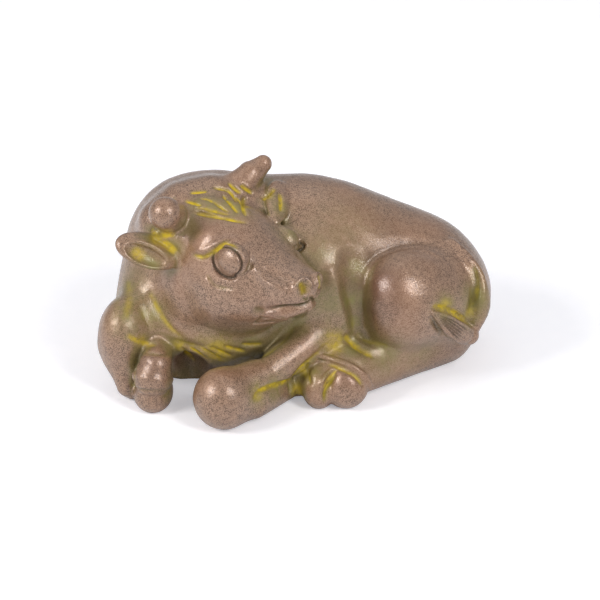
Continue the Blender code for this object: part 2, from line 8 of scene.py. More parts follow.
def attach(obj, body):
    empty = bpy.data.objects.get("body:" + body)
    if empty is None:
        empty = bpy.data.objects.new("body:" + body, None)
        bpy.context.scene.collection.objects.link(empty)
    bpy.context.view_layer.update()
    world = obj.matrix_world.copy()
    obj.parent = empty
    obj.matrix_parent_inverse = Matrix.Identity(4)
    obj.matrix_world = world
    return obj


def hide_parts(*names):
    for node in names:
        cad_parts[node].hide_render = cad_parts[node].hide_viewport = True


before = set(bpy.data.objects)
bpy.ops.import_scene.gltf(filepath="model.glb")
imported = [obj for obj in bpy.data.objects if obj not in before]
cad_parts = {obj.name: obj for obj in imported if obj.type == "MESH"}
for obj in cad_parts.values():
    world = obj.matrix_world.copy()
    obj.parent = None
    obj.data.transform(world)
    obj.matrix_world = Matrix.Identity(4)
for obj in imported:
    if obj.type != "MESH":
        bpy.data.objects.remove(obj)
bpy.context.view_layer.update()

# The ox is drawn in millimetres and brought to the frame's metres at the end.
oxValues = {
    "share": 0.001,  # metres to a drawn millimetre
    "roughVoxel": 0.36,
    "voxel": 0.21,
    "triangles": 190000,
    "unevenness": 0.03,  # height of the hand-worked waves in the skin
    "unevenSize": 3.2,
    "blend": 0.8,  # fillet between head and body
    "margin": 1.5,  # how far past its fillet a form is looked at
    "smoothing": (0.5, 4),  # factor and rounds, after the rough remesh
    "roughPress": (6, 0.35),  # rounds and longest step onto the drawn skin
    "finePress": (3, 0.2),
}
# The drawing: a picture of 600 dots, seen from the ox's left side and above.
# Places are its columns and rows.
viewValues = {
    "rise": 30.0,
    "distance": 400.0,
    "aim": (0.94, 0.34, 11.0),  # the place in the middle of the picture
    "scale": 6.8,  # dots to a millimetre at the aim
    "dots": 600,
    "sensor": 36.0,
    "clip": 0.01,
}
headValues = {
    "column": 259,  # between the eyes
    "row": 250,
    "depth": -6.5,
    "yaw": -40.0,
    "pitch": -4.0,
    "roll": -8.0,
    "eye": (0, 6.6, 0),
    "eyeRing": (2.8, 2.45),  # its radii along the face and up
    "ringWidth": 0.24,
    "ringDepth": 0.55,
    "ringSteps": 32,
}
# How a place of the picture is dropped onto the skin: where it starts, and its steps along the sight line.
dropValues = {"start": 45.0, "steps": 110, "share": 0.85, "back": -0.3, "on": 1.1}
lineValues = {
    "reach": 3.0,  # widths beyond which a line isn't looked at
    "fade": 4,  # how late a line fades out at its ends
    "half": 1.8,  # half of a groove's mouth, in widths
    "shape": 1.3,
}
waveValues = {"count": 6, "turn": (47.0, 31.0, 73.0), "least": 0.7, "growth": 0.16, "height": 3.0}
farAway = 30.0
leastSlope = 0.05
leastLean = 0.35


def turning(yaw, pitch, roll):
    return np.array(
        Matrix.Rotation(math.radians(yaw), 3, "Z")
        @ Matrix.Rotation(math.radians(pitch), 3, "Y")
        @ Matrix.Rotation(math.radians(roll), 3, "X")
    )


viewRise = math.radians(viewValues["rise"])
viewRight = np.array((1.0, 0.0, 0.0))
viewUp = np.array((0.0, math.sin(viewRise), math.cos(viewRise)))
viewBack = np.array((0.0, -math.cos(viewRise), math.sin(viewRise)))
viewEye = np.array(viewValues["aim"]) + viewValues["distance"] * viewBack


# Directions from the viewer's eye through places of the picture.
def sightLines(places):
    places = np.array(places, float).reshape(-1, 2)
    spread = viewValues["scale"] * viewValues["distance"]
    aside = (places[:, :1] - viewValues["dots"] / 2) / spread
    above = (viewValues["dots"] / 2 - places[:, 1:]) / spread
    lines = aside * viewRight + above * viewUp - viewBack
    return lines / np.linalg.norm(lines, axis=1)[:, None]


# A place of the picture at a known depth, along y.
def deep(column, row, depth):
    sight = sightLines((column, row))[0]
    return viewEye + sight * (depth - viewEye[1]) / sight[1]


# A place of the picture at a known height, along z.
def high(column, row, height):
    sight = sightLines((column, row))[0]
    return viewEye + sight * (height - viewEye[2]) / sight[2]


headTurn = turning(headValues["yaw"], headValues["pitch"], headValues["roll"])
headPlace = deep(headValues["column"], headValues["row"], headValues["depth"])


# A place given in the head's own axes: x to the muzzle, y to the ox's left, z up from the brow.
def fromHead(x, y, z):
    return headTurn @ np.array((x, y, z)) + headPlace


# Three kinds of form: a lump is an ellipsoid, a limb tapers through round stations, a leaf is flat.
def lump(name, blend, centre, radii, cut=False):
    centre, radii = np.array(centre, float), np.array(radii, float)
    return {"name": name, "blend": blend, "centre": centre, "radii": radii, "axes": np.eye(3), "cut": cut}


def limb(name, blend, *stations, cut=False):
    path = np.array([place for place, radius in stations], float)
    radii = np.array([radius for place, radius in stations], float)
    return {"name": name, "blend": blend, "path": path, "radii": radii, "cut": cut}


def leaf(name, blend, base, tip, facing, width, thickness, cut=False):
    base, tip, facing = (np.array(v, float) for v in (base, tip, facing))
    along = (tip - base) / np.linalg.norm(tip - base)
    facing = facing - along * (facing @ along)
    facing /= np.linalg.norm(facing)
    form = lump(name, blend, (base + tip) / 2, (np.linalg.norm(tip - base) / 2, width, thickness), cut)
    form["axes"] = np.stack([along, np.cross(facing, along), facing], 1)
    return form


def onHead(form):
    moved = dict(form)
    if "path" in form:
        moved["path"] = form["path"] @ headTurn.T + headPlace
    else:
        moved["centre"] = headTurn @ form["centre"] + headPlace
        moved["axes"] = headTurn @ form["axes"]
    return moved


# Body: a name, the fillet where it melts in, then centre and radii, or places and radii of its stations
bodyForms = [
    lump("barrel", 3, (2, 7, 13), (17, 12, 13.8)),
    lump("shoulders", 4, (-12, 5.5, 13.6), (12.6, 11.5, 14.6)),
    lump("withers", 4, (-16, 6, 17.5), (7.5, 7.5, 9.1)),
    lump("rump", 5, (16.1, 7, 9.6), (12.5, 11, 11.6)),
    lump("belly", 3, (3, 8, 4), (20, 10, 6.5)),
    lump("chest", 5, (-17, 1, 8.5), (9, 8, 8.6)),
    limb("back", 3, ((-10, 7.5, 18.7), 8), ((0, 8, 17.9), 7.8)),
    limb("neck", 2.5, ((-15, 5, 16), 8), (fromHead(-12, 1, -2), 6)),
    limb("neck crest", 2.5, (deep(160, 222, 1), 3), (deep(182, 205, 2), 3.2), (deep(212, 197, 3), 3)),
    lump("brisket", 3, deep(225, 325, -4), (9, 6, 6)),
    lump("breast", 1.5, (-15.5, -1.3, 2), (4.5, 3.2, 4)),
    lump("hollow between the forelegs", 0.8, (-15.1, -10, 2.2), (3.3, 6.6, 5.2), cut=True),
    lump("flank", 4, deep(318, 295, -1.5), (6.5, 5.6, 9)),
    lump("elbow", 3, deep(322, 322, -1.5), (7, 5.4, 7)),
    lump("thigh", 0.9, deep(400, 300, -2.9), (6.2, 6.4, 7.3)),
    lump("back of the thigh", 2, deep(419, 298, -1.4), (6.2, 6, 6.8)),
    lump("hip", 3, deep(440, 295, 3), (7.2, 7, 7.5)),
    limb("hind lower leg", 2.5, (high(442, 334, 3.3), 4.3), (high(352, 370, 3.8), 3.8)),
    lump("groin", 1.5, (6, -5, 4.5), (4.4, 4.2, 4.2)),
    lump("hind pastern", 1.2, high(336, 373, 3.8), (4.4, 3.4, 3.3)),
    lump("hind outer claw", 0.5, high(346, 385, 3), (3.3, 3.2, 3.5)),
    lump("hind inner claw", 0.5, high(319, 387, 2.7), (2.5, 3, 3.3)),
    limb(
        "left forearm",
        1.2,
        (deep(332, 322, -4), 3.2),
        (deep(300, 349, -8.2), 2.8),
        (deep(268, 373, -11.5), 2.6),
        (high(224, 397, 4.3), 3.9),
    ),
    lump("left knee", 0.8, high(223, 398, 4.2), (4.3, 4.3, 4.5)),
    limb(
        "left cannon",
        1,
        (high(226, 403, 3.2), 3.4),
        (high(252, 399, 2.9), 2.9),
        (high(290, 382, 2), 2.2),
        (high(308, 378, 2.8), 2.5),
    ),
    lump("right knee", 4, high(124, 337, 8.5), (3.8, 4.6, 5.9)),
    limb("right pastern", 1.2, (high(121, 345, 7), 3), (high(129, 384, 2.4), 1.9)),
    limb("right shank", 0.4, (high(132, 356, 6.4), 2.1), (high(133, 387, 1.5), 1.8)),
    limb("upper claw root", 0.8, (high(157, 366, 7), 2), ((-20, -2, 7), 2.8)),
    limb("upper claw", 0.5, (high(155, 364, 7), 2.3), (high(153, 376, 5.4), 3)),
    lump("lower claw", 0.25, high(153, 391, 2), (2.95, 3.9, 2.9)),
    lump("far thigh", 1.5, (14.5, 13, 8), (8, 6.6, 8.2)),
    limb("far hind lower leg", 1.2, ((17, 15.2, 2.7), 3.2), ((4, 16.6, 2.5), 2.9)),
    lump("far hind claw", 0.5, (0.8, 16.8, 2.2), (3, 2.4, 2.6)),
    lump("far shoulder", 3, (-12, 11.5, 9.5), (7.5, 5.8, 9)),
    limb("far forearm", 1.5, ((-12, 14, 5), 3.6), ((-22, 11, 2.9), 3.2)),
]

# Head: the same, in the head's own axes
skullForms = [
    lump("cranium", 1.5, (-6, 0, -1.6), (8.5, 7.2, 6.6)),
    lump("poll", 1.5, (-9.5, 0, 1.6), (4.6, 6.4, 4.6)),
    lump("cheeks", 3, (-9, 0, -7.6), (8.2, 7.9, 8.4)),
    lump("face", 2, (-3, 0, -4.8), (8, 7.3, 6.4)),
    limb("nose bridge", 1, ((-5, 0, 1.6), 3.4), ((2, 0, -1.1), 2.5), ((7.6, 0, -3.6), 2)),
]
for side in (-1, 1):
    skullForms += [
        limb(
            "brow and nose edge",
            2,
            ((-4.6, side * 2.8, -0.2), 4.1),
            ((0, side * 3.3, -1), 2.6),
            ((3, side * 2.6, -2.2), 2.1),
            ((7.4, side * 1.9, -3.3), 1.9),
        ),
        limb("upper jaw", 2.5, ((-3, side * 2.4, -6), 5.3), ((5.2, side * 1.5, -5.6), 2.7)),
        limb(
            "lower lip",
            0.3,
            ((4.7, side * 3.8, -7.2), 0.75),
            ((7.1, side * 2.8, -6.9), 0.9),
            ((8.8, side * 1.3, -6.1), 0.8),
            ((9.2, 0, -6), 0.8),
        ),
    ]
skullForms += [
    lump("right eyeball", 0.1, (0, -5.6, 0), (2.7, 1.9, 2.4)),
    lump("left eyeball", 0.1, (0, 5.1, 0), (2.7, 1.9, 2.4)),
    lump("muzzle", 1, (7.6, 0, -3.5), (2.9, 3.2, 2.6)),
    lump("chin", 0.6, (5.7, 0, -6.6), (3, 2.4, 1.4)),
    limb("lower jaw", 2, ((-3, 0, -9.3), 4.5), ((4, 0, -7), 2.2)),
    limb("root of horn and ear", 1.2, ((-10.5, -5.5, 0.3), 2.6), ((-12.2, -8, 0.8), 1.3)),
    limb("right horn", 0.7, ((-11.7, -5, 3), 2.3), ((-9.5, -9.6, 5.5), 2.35)),
    limb("left horn root", 1.2, ((-10.6, -1.2, 3.4), 2.6), ((-9.8, 6, 5), 2.5)),
    limb(
        "left horn",
        1,
        ((-10.4, 3.2, 2.4), 3.4),
        ((-9.5, 6.6, 5.6), 2.5),
        ((-9.1, 8.3, 7.2), 2),
        ((-8.5, 10.3, 8.5), 1.3),
    ),
]
earFacing = (0.85 * viewBack + 0.35 * viewUp) @ headTurn
skullForms.append(leaf("right ear", 0.6, (-9, -6.4, -2.2), (-15, -13.9, 0.8), earFacing, 2.65, 1.5))
headForms = [onHead(form) for form in skullForms]


def softMin(first, second, blend):
    meet = np.maximum(blend - np.abs(first - second), 0.0) / blend
    return np.minimum(first, second) - meet * meet * blend / 4


def reach(form):
    if "path" in form:
        radii = form["radii"][:, None]
        return (form["path"] - radii).min(0), (form["path"] + radii).max(0)
    half = np.sqrt(((form["axes"] * form["radii"]) ** 2).sum(1))
    return form["centre"] - half, form["centre"] + half


def formDistance(form, points):
    if "path" not in form:
        local = (points - form["centre"]) @ form["axes"]
        near = np.linalg.norm(local / form["radii"], axis=1)
        steep = np.linalg.norm(local / form["radii"] ** 2, axis=1)
        return near * (near - 1.0) / np.maximum(steep, 1e-9)
    found = np.full(len(points), farAway)
    for k in range(len(form["path"]) - 1):
        start, end = form["path"][k : k + 2]
        along = end - start
        share = np.clip((points - start) @ along / (along @ along), 0.0, 1.0)
        radius = form["radii"][k] + share * (form["radii"][k + 1] - form["radii"][k])
        gap = np.linalg.norm(points - start - share[:, None] * along, axis=1)
        found = np.minimum(found, gap - radius)
    return found


def together(points, forms):
    found = np.full(len(points), farAway)
    for form in forms:
        low, top = reach(form)
        margin = form["blend"] + oxValues["margin"]
        near = ((points > low - margin) & (points < top + margin)).all(1)
        if not near.any():
            continue
        gap = formDistance(form, points[near])
        if form["cut"]:
            found[near] = -softMin(-found[near], gap, form["blend"])
        else:
            found[near] = softMin(found[near], gap, form["blend"])
    return found


def smoothOx(points):
    return softMin(together(points, bodyForms), together(points, headForms), oxValues["blend"])


def slope(points, step=0.02):
    here = smoothOx(points)
    return here, np.stack([smoothOx(points + step * axis) - here for axis in np.eye(3)], 1) / step


# Points of the ox's skin that the picture shows at the given columns and rows.
def dropped(places):
    sights = sightLines(places)
    points = viewEye + sights * (viewValues["distance"] - dropValues["start"])
    for _ in range(dropValues["steps"]):
        step = np.clip(smoothOx(points) * dropValues["share"], dropValues["back"], dropValues["on"])
        points += step[:, None] * sights
    return points


# Points moved onto the skin of the drawn ox.
def settled(points, rounds=6, most=0.6):
    points = np.array(points, float)
    for _ in range(rounds):
        here, steep = slope(points)
        share = here / np.maximum((steep * steep).sum(1), leastSlope)
        points -= np.clip(share, -most, most)[:, None] * steep
    return points


# The way the skin faces at each point.
def facings(points):
    steep = slope(points)[1]
    return steep / np.maximum(np.linalg.norm(steep, axis=1), 1e-9)[:, None]


# A smooth curve through the places, as closely spaced points.
def curve(places, steps=5):
    places = np.array(places, float)
    ends = np.vstack([2 * places[0] - places[1], places, 2 * places[-1] - places[-2]])
    share = np.linspace(0.0, 1.0, steps, endpoint=False)[:, None]
    runs = []
    for k in range(len(places) - 1):
        before, start, end, after = ends[k : k + 4]
        bend = 2 * before - 5 * start + 4 * end - after
        twist = 3 * start - before - 3 * end + after
        runs.append(start + 0.5 * share * (end - before + share * (bend + share * twist)))
    return np.concatenate([*runs, places[-1:]])


# A limb laid along the skin of the forms before it: stations of column, row and radius.
def laid(name, blend, lift, *stations, cut=False):
    stations = curve(stations, 4)
    points = dropped(stations[:, :2])
    points += lift * facings(points)
    return limb(name, blend, *zip(points, stations[:, 2]), cut=cut)


# A leaf laid on the skin of the forms before it, from base to tip.
def laidLeaf(name, blend, lift, base, tip, width, thickness, facing=None, cut=False):
    points = dropped((base, tip))
    outward = facings(points)
    points += lift * outward
    facing = outward.mean(0) if facing is None else facing
    return leaf(name, blend, *points, facing, width, thickness, cut=cut)


earFront = headTurn @ earFacing
headForms.append(
    laidLeaf("right ear hollow", 0.3, 0.3, (166, 265), (125, 247), 1.6, 1.1, earFront, cut=True)
)
headForms.append(laidLeaf("left ear", 0.5, 0.2, (275, 224), (278, 182), 1.7, 0.9))
headForms.append(laidLeaf("forelock", 0.3, 0, (194, 202), (250, 215), 2.2, 0.7))
bodyForms.append(
    laid("tail", 0.7, 0, (452, 242, 0.6), (466, 258, 1), (477, 279, 1.3), (480, 306, 1.5), (472, 330, 1))
)
bodyForms.append(
    laid("valley by the thigh", 2.3, 0.7, (352, 262, 1), (351, 296, 1.5), (354, 328, 1.3), cut=True)
)
bodyForms.append(
    laid("skin fold", 1.3, -0.3, (331, 272, 0.4), (337, 298, 0.8), (342, 314, 0.9), (345, 330, 0.8))
)
bodyForms.append(
    laid("hind coronet", 0.3, 0.1, (321, 356, 0.4), (347, 365, 0.5), (364, 376, 0.5), (370, 387, 0.4))
)
bodyForms.append(
    laid("tail tuft", 0.25, 0.2, (432, 312, 0.35), (442, 319, 1.1), (455, 329, 1.7), (469, 334, 1.5))
)

# Carved lines: name, width, depth (below nothing for a ridge), share of yellow, then columns and rows.
# The face's lines are mirrored onto its other side.
faceLines = [
    ("brow groove", 0.34, 0.45, 0.9, (190, 254), (202, 257), (213, 252), (228, 243), (241, 250)),
    ("brow ridge", 0.6, -0.25, 0, (190, 249), (205, 250), (214, 245), (230, 239), (241, 243)),
    ("lower lid", 0.25, 0.28, 0.3, (206, 274), (216, 286), (234, 289)),
    ("tear duct", 0.4, 0.25, 0.2, (249, 262), (251, 270)),
    ("nose edge", 0.6, -0.5, 0, (253, 264), (266, 281), (287, 291)),
    ("nose hollow", 0.9, 0.3, 0, (262, 268), (280, 279), (295, 284)),
    ("nostril", 0.6, 0.75, 1, (302, 281), (304, 289), (305, 296)),
    ("nostril rim", 0.32, -0.5, 0, (296, 294), (297, 284), (304, 279), (310, 284), (311, 291)),
    ("nostril curl", 0.24, 0.4, 0.3, (302, 297), (307, 301), (309, 295)),
    ("mouth", 0.3, 0.55, 0.15, (262, 311), (282, 307), (303, 305), (312, 300), (319, 293)),
    ("under the lip", 0.26, 0.35, 0.2, (274, 317), (288, 319), (300, 316), (312, 308)),
    ("mouth corner", 0.8, 0.35, 0.2, (252, 309), (265, 313)),
]
bodyLines = [
    ("fringe", 0.3, 0.4, 1, (190, 212), (224, 218), (249, 223)),
    ("fringe", 0.28, 0.4, 1, (201, 207), (215, 211), (232, 215)),
    ("fringe", 0.28, 0.4, 1, (212, 200), (220, 206), (230, 213)),
    ("fringe", 0.28, 0.4, 1, (222, 194), (230, 203), (239, 214)),
    ("fringe", 0.28, 0.4, 1, (212, 187), (229, 191), (238, 203)),
    ("fringe", 0.28, 0.4, 1, (228, 182), (234, 188), (242, 194)),
    ("fringe", 0.3, 0.4, 1, (240, 184), (246, 189), (253, 194)),
    ("fringe", 0.36, 0.45, 1, (246, 196), (243, 205), (246, 217)),
    ("fringe", 0.26, 0.35, 1, (184, 200), (193, 203), (203, 206)),
    ("fringe", 0.26, 0.35, 1, (189, 193), (199, 192), (208, 191)),
    ("fringe", 0.26, 0.35, 1, (199, 198), (208, 199), (215, 203)),
    ("fringe", 0.26, 0.3, 0.9, (195, 207), (206, 209), (214, 214)),
    ("fringe", 0.26, 0.3, 0.9, (233, 196), (240, 201), (243, 208)),
    ("ear root", 0.6, 0.35, 1, (150, 237), (165, 244), (178, 254)),
    ("horn root", 0.45, 0.3, 1, (150, 229), (160, 235), (178, 234)),
    ("ear roll", 0.45, -0.25, 0, (131, 240), (150, 246), (170, 258)),
    ("jaw line", 0.5, 0.3, 0.6, (149, 290), (154, 302), (168, 325), (186, 342)),
    ("neck fold", 0.8, 0.12, 0.5, (127, 275), (129, 300), (124, 325)),
    ("neck fold", 0.7, 0.1, 0.35, (140, 305), (145, 318), (153, 332)),
    ("neck fold", 0.6, 0.1, 0.3, (118, 282), (117, 305), (114, 322)),
    ("neck foot", 0.5, 0.25, 0.8, (124, 333), (140, 342), (158, 346)),
    ("under the jaw", 0.6, 0.35, 0.5, (172, 340), (190, 345), (210, 348)),
    ("brisket strand", 0.34, 0.35, 1, (180, 347), (188, 354), (195, 362)),
    ("brisket strand", 0.34, 0.35, 1, (187, 346), (199, 354), (211, 362)),
    ("brisket strand", 0.34, 0.35, 1, (197, 346), (210, 353), (224, 361)),
    ("brisket strand", 0.34, 0.35, 1, (210, 347), (221, 352), (233, 357)),
    ("brisket strand", 0.34, 0.3, 1, (223, 346), (234, 349), (247, 352)),
    ("brisket strand", 0.34, 0.3, 0.8, (240, 344), (252, 345), (264, 344)),
    ("above the forearm", 0.9, 0.35, 0.4, (226, 366), (261, 356), (285, 338), (298, 314)),
    ("below the forearm", 0.5, 0.5, 1, (252, 400), (262, 390), (288, 381), (303, 367), (330, 342)),
    ("left fore foot", 0.3, 0.35, 0.4, (288, 379), (290, 387), (290, 395)),
    ("coronet groove", 0.36, 0.35, 0.7, (324, 363), (342, 369), (356, 377), (364, 388)),
    ("claw cleft", 0.4, 0.5, 0.7, (324, 404), (326, 390), (336, 371)),
    ("claw strand", 0.3, -0.35, 0.3, (319, 387), (326, 375), (336, 366)),
    ("claw strand", 0.25, 0.3, 0.8, (322, 391), (329, 378), (338, 368)),
    ("beside the claw", 0.4, 0.4, 0.6, (309, 360), (308, 372), (310, 386)),
    ("hock fold", 0.6, 0.3, 0.9, (343, 334), (355, 346), (376, 358)),
    ("round the thigh", 1, 0.3, 0, (358, 284), (370, 259), (400, 245), (430, 244), (452, 254)),
    ("thigh rim", 0.5, -0.14, 0, (366, 276), (379, 260), (404, 251), (427, 251), (445, 259)),
    ("under the thigh", 0.5, 0.3, 0.5, (355, 330), (366, 340), (398, 350)),
    ("beside the tail", 0.7, 0.55, 0.5, (474, 262), (478, 285), (468, 318)),
    ("above the tuft", 0.5, 0.4, 0.9, (430, 306), (448, 309), (472, 325)),
    ("below the tuft", 0.45, 0.35, 0.2, (430, 316), (440, 331), (460, 347)),
    ("left ear hollow", 0.45, 0.7, 1, (262, 200), (268, 194), (275, 187)),
    ("left ear edge", 0.4, 0.4, 0.9, (280, 192), (281, 202), (281, 213)),
    ("hoof cleft", 0.32, 0.3, 0.2, (135, 388), (147, 391), (172, 391)),
    ("beside the shank", 0.45, 0.25, 0.4, (138, 354), (134, 374), (134, 394)),
    ("hoof coronet", 0.35, 0.3, 0.3, (144, 353), (172, 355)),
]
tuftValues = {
    "strokes": 5,
    "width": 0.26,
    "depth": 0.4,
    "tip": (434, 312),
    "upperRoot": (474, 332),
    "lowerRoot": (463, 345),
    "reach": 0.92,  # how near to the tip the strokes start
    "sag": 4,
}
# Stains left in the hollows: name, column and row, radius, share of yellow, share of olive
stains = [
    ("fringe", 232, 205, 2.6, 0.5, 0.9),
    ("fringe", 214, 204, 2.4, 0.35, 0.9),
    ("fringe", 198, 204, 1.8, 0.25, 0.8),
    ("fringe", 245, 206, 1.3, 0.8, 0.2),
    ("horn root", 158, 238, 1.7, 1.0, 0.3),
    ("ear root", 172, 248, 1.6, 0.5, 0.8),
    ("ear", 138, 254, 1.5, 1.0, 0.2),
    ("ear", 152, 263, 1.6, 0.2, 1.0),
    ("far ear", 268, 196, 1.2, 0.8, 0.4),
    ("far ear", 282, 208, 1.6, 0.5, 0.7),
    ("behind the brow", 292, 232, 2.5, 0.1, 0.8),
    ("neck", 130, 285, 3.2, 0.1, 0.6),
    ("neck", 150, 315, 2.6, 0.35, 0.7),
    ("neck", 128, 318, 2.6, 0.15, 0.7),
    ("neck foot", 140, 340, 1.5, 0.8, 0.4),
    ("brisket", 215, 352, 3.4, 0.9, 0.6),
    ("brisket", 180, 346, 1.8, 0.8, 0.6),
    ("brisket", 250, 345, 3.2, 0.35, 0.8),
    ("brisket", 275, 333, 2.6, 0.35, 0.7),
    ("under the muzzle", 297, 320, 2.0, 0.3, 0.8),
    ("beside the muzzle", 330, 300, 3.4, 0, 0.8),
    ("flank", 318, 255, 4.2, 0, 0.6),
    ("flank", 345, 235, 6.0, 0, 0.35),
    ("valley", 351, 300, 2.6, 0.3, 1.0),
    ("valley", 354, 270, 2.0, 0.35, 0.7),
    ("valley", 352, 325, 2.0, 0.5, 0.9),
    ("hock", 333, 343, 2.4, 1.0, 0.3),
    ("hock", 355, 348, 2.8, 0.4, 0.9),
    ("lower leg", 385, 352, 3.4, 0.1, 0.8),
    ("lower leg", 420, 352, 3.4, 0, 0.5),
    ("cannon", 258, 394, 1.7, 0.8, 0.6),
    ("cannon", 275, 388, 1.9, 0.4, 0.9),
    ("cannon", 298, 390, 1.6, 1.0, 0.3),
    ("elbow", 302, 371, 1.5, 0.9, 0.3),
    ("hind claw", 313, 372, 1.8, 0.3, 0.8),
    ("tail", 476, 298, 2.4, 0.2, 1.0),
    ("tail", 470, 314, 1.6, 0.8, 0.8),
    ("tuft", 445, 307, 1.7, 0.9, 0.7),
    ("hoof", 173, 375, 1.0, 0.8, 0.4),
    ("shank", 136, 365, 1.2, 0.2, 0.6),
    ("hoof cleft", 168, 392, 1.0, 0.4, 0.5),
    ("hollow", 190, 372, 3.0, 0, 0.7),
]
# Red-brown patches of patina, and on the thigh's left side painted shade as well: name, column and row,
# radius, share
rustAndShadePatches = [
    ("thigh", 368, 262, 2.6, 0.7),
    ("thigh", 362, 285, 2.4, 0.9),
    ("thigh", 378, 284, 3.2, 0.9),
    ("thigh", 368, 308, 2.8, 0.9),
    ("thigh", 388, 305, 2.6, 0.4),
    ("thigh rim", 385, 241, 3.0, 0.45),
    ("flank", 330, 257, 1.5, 0.4),
    ("brow", 215, 224, 3.0, 0.25),
    ("under the muzzle", 268, 312, 2.0, 0.4),
    ("hoof", 150, 366, 1.8, 0.35),
    ("claw", 348, 378, 1.5, 0.35),
]


def otherSide(points):
    local = (points - headPlace) @ headTurn
    return (local * (1, -1, 1)) @ headTurn.T + headPlace


def line(path, width, depth, tone, fade=True):
    return {"path": path, "width": width, "depth": depth, "tone": tone, "fade": fade}


# Strokes along the tail's tuft, spreading from its tip to its root.
def tuftStrokes():
    tip, upper, lower = (np.array(tuftValues[name], float) for name in ("tip", "upperRoot", "lowerRoot"))
    strokes = []
    for k in range(tuftValues["strokes"]):
        share = (k + 0.5) / tuftValues["strokes"]
        root = upper + share * (lower - upper)
        start = root + tuftValues["reach"] * (tip - root)
        middle = (start + root) / 2 + (0, (share - 0.5) * 2 * tuftValues["sag"])
        strokes.append(("tuft", tuftValues["width"], tuftValues["depth"], 0, start, middle, root))
    return strokes


# The curves of the given rows, dropped onto the skin together.
def onSkin(rows):
    curves = [curve(row[4:]) for row in rows]
    return np.split(dropped(np.concatenate(curves)), np.cumsum([len(places) for places in curves])[:-1])


def eyeRing(side):
    turn = np.linspace(0.0, 2 * math.pi, headValues["ringSteps"] + 1)
    x, y, z = headValues["eye"]
    long, tall = headValues["eyeRing"]
    ring = np.stack([x + long * np.cos(turn), np.full(len(turn), side * y), z + tall * np.sin(turn)], 1)
    path = settled(ring @ headTurn.T + headPlace)
    return line(path, headValues["ringWidth"], headValues["ringDepth"], 0, fade=False)


def carvedLines():
    lines = [eyeRing(side) for side in (-1, 1)]
    rows = faceLines + bodyLines + tuftStrokes()
    paths = onSkin(rows)
    lines += [line(path, *row[1:4]) for row, path in zip(rows, paths)]
    faceRows, facePaths = rows[: len(faceLines)], paths[: len(faceLines)]
    mirrored = settled(otherSide(np.concatenate(facePaths)))
    mirrored = np.split(mirrored, np.cumsum([len(path) for path in facePaths])[:-1])
    lines += [line(path, *row[1:4]) for row, path in zip(faceRows, mirrored)]
    return lines


# Distance from each point to a line, and how far the line has faded in, for the points within reach.
def lineGap(points, mark):
    path = mark["path"]
    margin = lineValues["reach"] * mark["width"]
    near = ((points > path.min(0) - margin) & (points < path.max(0) + margin)).all(1)
    close = points[near]
    gap = np.full(len(close), farAway)
    along = np.zeros(len(close))
    for k in range(len(path) - 1):
        run = path[k + 1] - path[k]
        share = np.clip((close - path[k]) @ run / max(run @ run, 1e-9), 0.0, 1.0)
        newGap = np.linalg.norm(close - path[k] - share[:, None] * run, axis=1)
        along = np.where(newGap < gap, (k + share) / (len(path) - 1), along)
        gap = np.minimum(gap, newGap)
    if mark["fade"]:
        return near, gap, 1 - np.abs(2 * along - 1) ** lineValues["fade"]
    return near, gap, np.ones(len(close))


# How deep the skin is cut at its points: a groove is a V with a soft floor, a ridge is round.
def carving(points, lines):
    grooves, ridges = np.zeros(len(points)), np.zeros(len(points))
    for mark in lines:
        near, gap, fade = lineGap(points, mark)
        if mark["depth"] > 0:
            half = lineValues["half"] * mark["width"]
            profile = np.clip(1 - gap / half, 0.0, 1.0) ** lineValues["shape"]
            grooves[near] = np.maximum(grooves[near], mark["depth"] * fade * profile)
        else:
            profile = np.exp(-((gap / mark["width"]) ** 2))
            ridges[near] = np.maximum(ridges[near], -mark["depth"] * fade * profile)
    return grooves - ridges


# Slow smooth waves from a few sine products, for skin that was worked by hand.
def waves(points, size):
    total = np.zeros(len(points))
    for k in range(1, waveValues["count"] + 1):
        tilt = turning(*(angle * k for angle in waveValues["turn"]))
        length = size * (waveValues["least"] + waveValues["growth"] * k)
        local = points @ tilt * (2 * math.pi / length)
        total += np.sin(local[:, 0] + k) * np.sin(local[:, 1] + 2 * k) * np.cos(local[:, 2])
    return total / waveValues["height"]


def readPoints(mesh):
    points = np.empty(len(mesh.vertices) * 3)
    mesh.vertices.foreach_get("co", points)
    return points.reshape(-1, 3)


def writePoints(mesh, points):
    mesh.vertices.foreach_set("co", np.ascontiguousarray(points).ravel())
    mesh.update()


def readNormals(mesh):
    normals = np.empty(len(mesh.vertices) * 3)
    mesh.vertex_normals.foreach_get("vector", normals)
    return normals.reshape(-1, 3)


def onlySelected(piece):
    bpy.ops.object.select_all(action="DESELECT")
    piece.select_set(True)
    bpy.context.view_layer.objects.active = piece


def applyModifier(piece, kind, **values):
    onlySelected(piece)
    step = piece.modifiers.new(kind.title(), kind)
    for name, value in values.items():
        setattr(step, name, value)
    bpy.ops.object.modifier_apply(modifier=step.name)


# Moves the mesh onto the drawn skin along its own normals, in rounds of steps no longer than most.
def pressOntoSkin(mesh, rounds, most, step=0.03):
    for _ in range(rounds):
        points = readPoints(mesh)
        normals = readNormals(mesh)
        here = smoothOx(points)
        steep = (smoothOx(points + step * normals) - here) / step
        share = np.clip(here / np.maximum(steep, leastLean), -most, most)
        points -= share[:, None] * normals
        points[:, 2] = np.maximum(points[:, 2], 0.0)
        writePoints(mesh, points)


# How much of the space in front of the skin is filled by the ox itself, at a few distances.
def hollowness(points, normals, distances):
    total = np.zeros(len(points))
    for ahead in distances:
        total += np.clip(1.0 - smoothOx(points + ahead * normals) / ahead, 0.0, 1.0)
    return total / len(distances)


